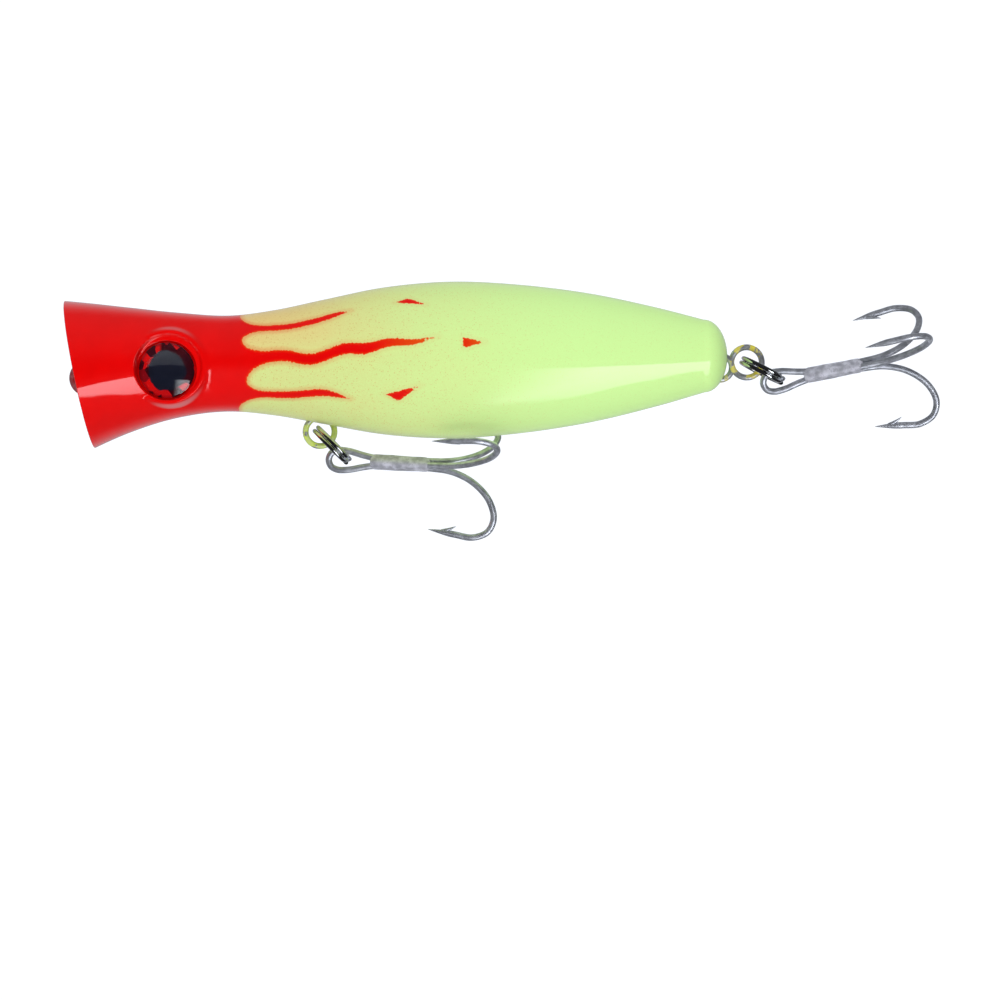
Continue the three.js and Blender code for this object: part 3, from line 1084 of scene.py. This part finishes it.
# ---------------------------------------------------------------- eyes
@dataclass
class Eye:
    """A printed foil disc under a domed resin lens."""

    side: Side
    radius: float = 5.0
    skirt: float = 0.28
    disc_radius: float = 4.97
    disc_round: tuple = (0.04, 0.07)

    def turned_out(self, profile: Sequence[Sequence[float]], centre: Vector) -> bmesh.types.BMesh:
        """Spins a profile and stands it on the eye's place, facing out.

        Args:
            profile: heights and radii.
            centre: the middle of its base.

        Returns:
            The turned mesh.
        """
        bm = turned(profile, 72)
        facing = Matrix.Rotation(math.radians(90 * self.side.value), 4, "Z")
        bmesh.ops.transform(bm, matrix=Matrix.Translation(centre) @ facing, verts=bm.verts)
        return bm

    def build(self, foil: bpy.types.Material, resin: bpy.types.Material) -> None:
        """Models the foil and the lens.

        Args:
            foil: the foil's finish.
            resin: the lens's finish.
        """
        title = self.side.name.lower()
        low, high = (TO_MM @ Vector(corner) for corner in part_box(f"eye_foil_{title}"))
        middle = (low + high) / 2
        thick = high.y - low.y
        base = Vector((middle.x, middle.y - self.side.value * thick / 2, middle.z))
        rise, inset = self.disc_round
        flat, full = self.disc_radius - inset, self.disc_radius
        disc = [(0, 0), (0, flat), (rise, full), (thick - rise, full), (thick, flat), (thick, 0)]
        finished(
            self.turned_out(disc, base),
            f"foil_disc_{title}",
            foil,
            "lure_body",
            [f"eye_foil_{title}"],
        )
        low, high = (TO_MM @ Vector(corner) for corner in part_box(f"eye_lens_{title}"))
        height = high.y - low.y
        near = low.y if self.side is Side.RIGHT else high.y
        dome = height - self.skirt
        sphere = (self.radius**2 + dome**2) / (2 * dome)
        reach = math.asin(self.radius / sphere)
        turns = np.linspace(reach, 0, 22)
        cap = [(height - sphere + sphere * math.cos(t), sphere * math.sin(t)) for t in turns]
        cap[-1] = (height, 0)
        profile = [(0, 0), (0, 4.85), (0.06, self.radius - 0.03), (self.skirt - 0.08, self.radius), *cap]
        finished(
            self.turned_out(profile, Vector((middle.x, near, middle.z))),
            f"lens_dome_{title}",
            resin,
            "lure_body",
            [f"eye_lens_{title}"],
        )


# ---------------------------------------------------------------- wire eyelets
@dataclass
class Eyelet:
    """Wire bent into a figure of eight: a loop outside and an anchor ring inside the body."""

    node: str
    centre: tuple
    loop: float
    anchor: float
    tilt: float
    wire: float = 0.55

    def build(self, material: bpy.types.Material, slot: str) -> None:
        """Models the eyelet.

        Args:
            material: its finish.
            slot: the record's material slot; not used.
        """
        lap = self.wire
        turns = np.linspace(0, 2 * math.pi, 72, endpoint=False)
        outer = [(self.loop * math.cos(t), -lap * math.cos(t / 2), self.loop * math.sin(t)) for t in turns]
        hub = self.loop + self.anchor
        inner = [
            (hub - self.anchor * math.cos(t), lap * math.cos(t / 2), self.anchor * math.sin(t)) for t in turns
        ]
        bm = wire_mesh(np.array(outer + inner), self.wire, closed=True)
        stand = Matrix.Translation((self.centre[0], 0, self.centre[1])) @ Matrix.Rotation(
            math.radians(self.tilt), 4, "Y"
        )
        bmesh.ops.transform(bm, matrix=stand, verts=bm.verts)
        finished(bm, f"wire_{self.node}", material, "lure_body", [self.node])


# ---------------------------------------------------------------- split rings and treble hooks
@dataclass
class HookSet:
    """A split ring and the treble hook that hangs from it."""

    place: str
    ring_slope: float
    pitch: float
    roll: float
    ring_radius: float = 3.95
    ring_radial: float = 0.5
    ring_axial: float = 0.41
    turn_gap: float = 0.03
    wire: float = 0.6
    pivot: float = 1.6
    eye_radius: float = 1.8
    eye_straight: float = 0.8
    throat: float = 6
    spread: float = 0.66
    front: float = 1.12
    braze_from: float = 5.7
    braze_to: float = 16.6
    prong: tuple = (
        (16.8, 0),
        (20.7, 0.45),
        (24.5, 2.15),
        (27.5, 5.15),
        (28.6, 8.5),
        (27.6, 11.05),
        (24.9, 12.2),
        (21.9, 11.85),
    )
    # The sharpened end: distance along the shank, distance out, and share of the wire's radius.
    point: tuple = (
        (21.0, 11.72, 1),
        (20.0, 11.57, 0.88),
        (18.9, 11.41, 0.62),
        (17.8, 11.25, 0.34),
        (16.8, 11.1, 0.06),
    )
    barb: tuple = ((19.3, 11.32, 0.62), (20.5, 10.95, 0.5), (21.9, 10.3, 0.08))
    # Directions of the prongs about the shank, in degrees from up towards the right side.
    far_prong: float = 60
    lower_prong: float = 180
    near_prong: float = -60
    legs_from: float = 11.6
    # The braze: its even girth, what it gains away from its ends, and how it follows the wires.
    braze_girth: float = 0.86
    braze_fill: tuple = (0.5, 0.12)
    braze_ridge: float = 0.18
    braze_lumps: tuple = (0.025, 0.012)

    def place_of(self, joint: str) -> Vector:
        """Where a joint is, in millimetres."""
        return TO_MM @ Vector(JOINT_AT[f"{self.place}_{joint}_swing"])

    def hook_frame(self) -> Matrix:
        """Takes the hook's own frame, with its shank along X, to its place.

        Returns:
            The transform, in millimetres.
        """
        pitch = Matrix.Rotation(math.radians(self.pitch), 4, "Y")
        roll = Matrix.Rotation(math.radians(self.roll), 4, "X")
        return Matrix.Translation(self.place_of("hook")) @ pitch @ roll

    def build_ring(self, material: bpy.types.Material) -> None:
        """Winds two flat turns of wire, with a step where one turn climbs to the other.

        Args:
            material: its finish.
        """
        flatness = self.ring_axial / self.ring_radial
        level = (self.ring_axial + self.turn_gap) / flatness
        climb = math.pi / 5
        rows = []
        for turn in np.linspace(0, 4 * math.pi - climb, 190):
            height = 2 * level * (float(smoothstep(turn, 2 * math.pi - climb, 2 * math.pi)) - 0.5)
            rows.append((self.ring_radius * math.cos(turn), self.ring_radius * math.sin(turn), height))
        bm = wire_mesh(np.array(rows), self.ring_radial)
        slope = Matrix.Rotation(math.radians(self.ring_slope), 4, "Y")
        centre = self.place_of("hook") - slope @ Vector((self.ring_radius, 0, 0))
        stand = Matrix.Translation(centre) @ slope @ Matrix.Diagonal((1, 1, flatness, 1))
        bmesh.ops.transform(bm, matrix=stand, verts=bm.verts)
        name = f"{self.place}_split_ring"
        finished(bm, f"wound_{name}", material, f"{self.place}_ring", [name])

    def prong_place(self, base: Vector, turn: float, along: float, out: float) -> Vector:
        """A point of a prong in the hook's frame.

        Args:
            base: the offset of the prong's shank from the hook's axis.
            turn: the prong's direction about the axis, in degrees from up towards the right side.
            along: distance along the shank.
            out: distance out from the shank.

        Returns:
            The point.
        """
        away = Vector((0, math.sin(math.radians(turn)), math.cos(math.radians(turn))))
        return base + away * out + Vector((along - self.pivot, 0, 0))

    def prong_path(self, base: Vector, turn: float) -> list[Vector]:
        """The control points of one prong, from the shank to where its point begins."""
        return [self.prong_place(base, turn, along, out) for along, out in self.prong]

    def tapered(self, base: Vector, turn: float, stretch: Sequence[Sequence[float]]) -> bmesh.types.BMesh:
        """A tapered length of wire, such as a barb.

        Args:
            base: the offset of the prong's shank from the hook's axis.
            turn: the prong's direction about the axis, in degrees.
            stretch: distances along and out, with shares of the wire's radius.

        Returns:
            The mesh, in the hook's frame.
        """
        path = [(*self.prong_place(base, turn, along, out), share) for along, out, share in stretch]
        smooth = smooth_path(path, 8)
        return wire_mesh(smooth[:, :3], self.wire, list(smooth[:, 3]))

    def hook_wire(
        self, path: Sequence[Vector], ends: Sequence[tuple[Vector, float]], first: bool
    ) -> bmesh.types.BMesh:
        """A hook's wire with a sharpened point and a barb at one end or both.

        Args:
            path: the control points between the points.
            ends: the shank offset and direction of each sharpened end, the last at the path's end.
            first: whether the path also starts with a sharpened end.

        Returns:
            The mesh, in the hook's frame.
        """
        rows = [(*place, 1.0) for place in path]
        rows += [(*self.prong_place(*ends[-1], along, out), share) for along, out, share in self.point]
        if first:
            head = [(*self.prong_place(*ends[0], along, out), share) for along, out, share in self.point]
            rows = [*reversed(head), *rows]
        smooth = smooth_path(rows, 9)
        wire = wire_mesh(smooth[:, :3], self.wire, list(np.clip(smooth[:, 3], 0.05, 1)))
        barbs = [self.tapered(base, turn, self.barb) for base, turn in ends]
        return joined([wire, *barbs])

    def double_hook(self) -> bmesh.types.BMesh:
        """One wire bent at its middle into the eye, whose legs run on into two prongs.

        Returns:
            The mesh, in the hook's frame.
        """
        upper, lower = Vector((0, 0, self.spread)), Vector((0, 0, -self.spread))
        r = self.eye_radius
        eye = [
            (self.legs_from, self.spread),
            (self.throat + 1, self.spread),
            (self.throat - 1.4, 1.05),
            (self.eye_straight + 1.2, r * 0.93),
            (self.eye_straight, r),
            (0, r),
            (-r * math.sqrt(0.5), r * math.sqrt(0.5)),
        ]
        half = [Vector((along - self.pivot, 0, height)) for along, height in eye]
        turned_half = [Vector((at.x, 0, -at.z)) for at in reversed(half)]
        crown = Vector((-r - self.pivot, 0, 0))
        path = [*reversed(self.prong_path(upper, self.far_prong)), *half, crown, *turned_half]
        path += self.prong_path(lower, self.lower_prong)
        return self.hook_wire(path, [(upper, self.far_prong), (lower, self.lower_prong)], True)

    def single_hook(self) -> bmesh.types.BMesh:
        """The third hook, whose shank lies against the other two.

        Returns:
            The mesh, in the hook's frame.
        """
        front = Vector((0, -self.front, 0))
        starts = (self.throat + 0.6, self.legs_from)
        shank = [self.prong_place(front, self.near_prong, along, 0) for along in starts]
        path = [*shank, *self.prong_path(front, self.near_prong)]
        return self.hook_wire(path, [(front, self.near_prong)], False)

    def braze(self) -> bmesh.types.BMesh:
        """The filled metal round the shanks, which sinks between them at both ends.

        Returns:
            The mesh, in the hook's frame.
        """
        gain, loss = self.braze_fill
        coarse, fine = self.braze_lumps
        shares = np.linspace(0, 1, 44)
        bm = turned([(0, 0), *((share, 1) for share in shares), (1, 0)], 48)
        for vert in bm.verts:
            share = vert.co.x
            turn = math.atan2(vert.co.z, -vert.co.y)
            full = float(smoothstep(min(share, 1 - share), -0.03, 0.09))
            lump = coarse * math.sin(11 * share + 2 * turn) + fine * math.sin(27 * share - turn)
            filled = full * (gain - loss * share + lump)
            reach = self.braze_girth + filled + self.braze_ridge * math.cos(3 * turn)
            wide = reach * math.hypot(vert.co.y, vert.co.z)
            along = self.braze_from + share * (self.braze_to - self.braze_from) - self.pivot
            vert.co = (along, -self.front / 3 - wide * math.cos(turn), wide * math.sin(turn))
        bmesh.ops.recalc_face_normals(bm, faces=bm.faces)
        return bm

    def build(self, tin: bpy.types.Material, plating: bpy.types.Material, solder: bpy.types.Material) -> None:
        """Models the ring and the hook's three pieces.

        Args:
            tin: the hook wire's finish.
            plating: the ring's finish.
            solder: the braze's finish.
        """
        self.build_ring(plating)
        stand = self.hook_frame()
        pieces = (
            ("hook_double", self.double_hook(), tin, "hook_wire"),
            ("hook_single", self.single_hook(), tin, "hook_wire"),
            ("hook_braze", self.braze(), solder, "braze"),
        )
        for title, bm, material, slot in pieces:
            bmesh.ops.transform(bm, matrix=stand, verts=bm.verts)
            node = f"{self.place}_{title}"
            finished(bm, f"fine_{node}", material, f"{self.place}_hook", [node])


# ---------------------------------------------------------------- studio
@dataclass
class Studio:
    """A pale flat floor under a white surround, a camera that sees the lure side on, and soft lights."""

    view_centre: tuple = (0.0744, -0.0233)
    view_width: float = 0.1812
    lens: float = 200
    sensor: float = 36
    roll: float = 0.92
    floor_height: float = -0.6
    floor_size: float = 6
    light_centre: tuple = (0.05, 0, 0)
    window_heading: tuple = (9, 42)
    window_rise: tuple = (-18, -62, -85)
    window_light: float = 5.0

    def build_camera(self) -> None:
        """Places the camera level with the view's centre, rolled so that the tail rises a little."""
        data = bpy.data.cameras.new("camera")
        data.lens = self.lens
        data.sensor_width = self.sensor
        data.clip_end = 50
        camera = bpy.data.objects.new("camera", data)
        turn = math.radians(self.roll)
        away = self.view_width * self.lens / self.sensor
        right = Vector((math.cos(turn), 0, -math.sin(turn)))
        up = Vector((math.sin(turn), 0, math.cos(turn)))
        camera.matrix_world = Matrix(
            (
                (right.x, up.x, 0, self.view_centre[0]),
                (right.y, up.y, -1, -away),
                (right.z, up.z, 0, self.view_centre[1]),
                (0, 0, 0, 1),
            )
        )
        bpy.context.collection.objects.link(camera)
        bpy.context.scene.camera = camera
        log.info("camera: %.2f m away", away)

    def build_floor(self) -> None:
        """Lays a pale floor that can be seen through from below."""
        bm = bmesh.new()
        bmesh.ops.create_grid(bm, x_segments=1, y_segments=1, size=self.floor_size / 2)
        bmesh.ops.translate(bm, vec=(self.view_centre[0], 0, self.floor_height), verts=bm.verts)
        mesh = bpy.data.meshes.new("floor")
        bm.to_mesh(mesh)
        bm.free()
        material, tree = new_material("floor")
        pale = tree.add("BsdfDiffuse", Color=(0.86, 0.86, 0.86, 1))
        clear = tree.add("BsdfTransparent")
        under = tree.add("NewGeometry").outputs["Backfacing"]
        tree.blended(under, pale, clear)
        mesh.materials.append(material)
        floor = bpy.data.objects.new("floor", mesh)
        floor.visible_glossy = False
        bpy.context.collection.objects.link(floor)
        log.info("floor: at %.1f m", self.floor_height)

    def window(self, tree: Tree, way: bpy.types.Node) -> bpy.types.NodeSocket:
        """The mirrored light of a tall window, low on the tail's side, that fades downwards.

        Args:
            tree: the world's nodes.
            way: the parts of the direction looked in.

        Returns:
            The window's light.
        """
        heading = tree.math("ARCTAN2", way.outputs[0], tree.times(way.outputs[1], -1.0))
        rise = tree.math("ARCSINE", way.outputs[2])
        start, end = (math.radians(angle) for angle in self.window_heading)
        top, core, bottom = (math.radians(angle) for angle in self.window_rise)
        across = tree.times(tree.step(heading, start, start + 0.3), tree.step(heading, end + 0.05, end))
        full = tree.step(rise, core - 0.25, core)
        faint = tree.step(rise, bottom, top)
        tall = tree.scaled(full, 0.4, tree.times(faint, 0.7))
        tall = tree.times(tall, tree.step(rise, top + 0.03, top))
        return tree.times(tree.times(across, tall), self.window_light)

    def build_world(self) -> None:
        """Surrounds the lure with white that is dimmer on the camera's side."""
        world = bpy.data.worlds.new("studio")
        bpy.context.scene.world = world
        world.use_nodes = True
        tree = Tree(world.node_tree)
        way = tree.add("SeparateXYZ", None, Vector=tree.add("TexCoord").outputs["Generated"])
        beyond = tree.step(way.outputs[1], -0.1, 0.75)
        grazing = tree.step(way.outputs[1], 0.4, 1.0)
        above = tree.step(way.outputs[2], 0.3, 0.95)
        below = tree.times(tree.step(way.outputs[2], -0.3, -0.95), 0.95)
        around = tree.math("MAXIMUM", tree.math("MAXIMUM", beyond, above), below)
        matt = tree.scaled(around, 1.08, 0.1)
        mirrored = tree.math("ADD", tree.scaled(grazing, 0.42, 0.02), self.window(tree, way))
        path = tree.add("LightPath")
        blend = tree.add("Mix", {"data_type": "FLOAT"})
        for index, value in ((0, path.outputs["Is Glossy Ray"]), (2, matt), (3, mirrored)):
            tree.set(blend.inputs[index], value)
        seen = path.outputs["Is Camera Ray"]
        level = tree.times(tree.rest(seen), blend.outputs[0])
        strength = tree.scaled(seen, 1.1, level)
        background = tree.add("Background", Color=(0.95, 0.98, 1.03, 1), Strength=strength)
        tree.add("OutputWorld", Surface=background.outputs[0])
        log.info("world: lit")

    def add_light(self, name: str, rise: float, away: float, size: tuple, power: float) -> None:
        """Adds a rectangular softbox on the camera's side, which no glossy surface shows.

        Args:
            name: the light's name.
            rise: its angle above the horizon in degrees.
            away: its distance from the lure.
            size: its width and height.
            power: its power in watts.
        """
        data = bpy.data.lights.new(name, "AREA")
        data.shape = "RECTANGLE"
        data.size, data.size_y = size
        data.energy = power
        light = bpy.data.objects.new(name, data)
        tall = math.radians(rise)
        way = Vector((0, -math.cos(tall), math.sin(tall)))
        light.location = Vector(self.light_centre) + way * away
        light.rotation_euler = way.to_track_quat("Z", "Y").to_euler()
        light.visible_glossy = False
        light.visible_transmission = False
        bpy.context.collection.objects.link(light)
        log.info("%s: %.1f W", name, power)

    def build(self) -> None:
        """Sets up the whole studio."""
        bpy.context.scene.view_settings.view_transform = "Standard"
        self.build_camera()
        self.build_floor()
        self.build_world()
        self.add_light("front_fill", 30, 1.2, (0.9, 0.6), 5.3)
        self.add_light("low_fill", -30, 0.95, (0.9, 0.5), 3.0)


# ---------------------------------------------------------------- assembly
def dress_insides() -> None:
    """Gives the CAD pieces inside the body their metal finishes."""
    polished = Metal("bearing_steel", srgb(120, 122, 126), srgb(178, 180, 184), 0.1, 1800, 0.1).material()
    plain = Metal("ballast_steel", srgb(96, 98, 102), srgb(140, 142, 146), 0.35, 1800, 0.4).material()
    finishes = {
        "rattle_ball_front": polished,
        "rattle_ball_rear": polished,
        "belly_weight": plain,
        "tail_weight": plain,
    }
    for node, material in finishes.items():
        mesh = frame["nodes"][node].data
        mesh.materials.clear()
        mesh.materials.append(material)
        log.info("%s: dressed", node)


def main() -> None:
    """Builds the studio and every piece of the popper."""
    logging.basicConfig(level=logging.INFO, format="%(name)s %(message)s")
    Studio().build()
    body = PaintedBody()
    body.build()

    eye_centre = ((body.eye_station - LINE_TIE_STATION) * MM, 0, (body.eye_height - LINE_TIE_HEIGHT) * MM)
    foil = EyeFoil(eye_centre).material()
    resin = LensResin().material()
    for side in Side:
        Eye(side).build(foil, resin)

    red_wire = PaintedWire("painted_wire", srgb(140, 6, 12), 0.34).material()
    green_wire = PaintedWire("eyelet_wire", srgb(206, 226, 104), 0.48).material()
    tail_wire = PaintedWire("tail_eyelet_wire", srgb(214, 200, 70), 0.5).material()
    line_tie = (LINE_TIE_STATION, LINE_TIE_HEIGHT)
    Eyelet("line_tie_eyelet", line_tie, 2.75, 2.2, 0).build(red_wire, "painted_wire")
    belly = TO_MM @ Vector(JOINT_AT["belly_ring_swing"])
    tail = TO_MM @ Vector(JOINT_AT["tail_ring_swing"])
    Eyelet("belly_eyelet", (belly.x, belly.z), 2.6, 2.3, -90).build(green_wire, "eyelet_wire")
    Eyelet("tail_eyelet", (tail.x, tail.z), 2.75, 2.2, 170).build(tail_wire, "eyelet_wire")

    tin = Metal("hook_wire", srgb(184, 187, 196), srgb(226, 229, 238), 0.26, 2600, 0.2, 0.75).material()
    plating = Metal("ring_plating", srgb(190, 192, 194), srgb(232, 233, 236), 0.06, 1600, 0.1).material()
    solder = Metal("braze", srgb(160, 160, 170), srgb(214, 214, 224), 0.4, 2800, 0.5, 0.3).material()
    HookSet("belly", 46, 4, 7).build(tin, plating, solder)
    HookSet("tail", 28, -10, 14).build(tin, plating, solder)
    dress_insides()


if __name__ == "__main__":
    main()
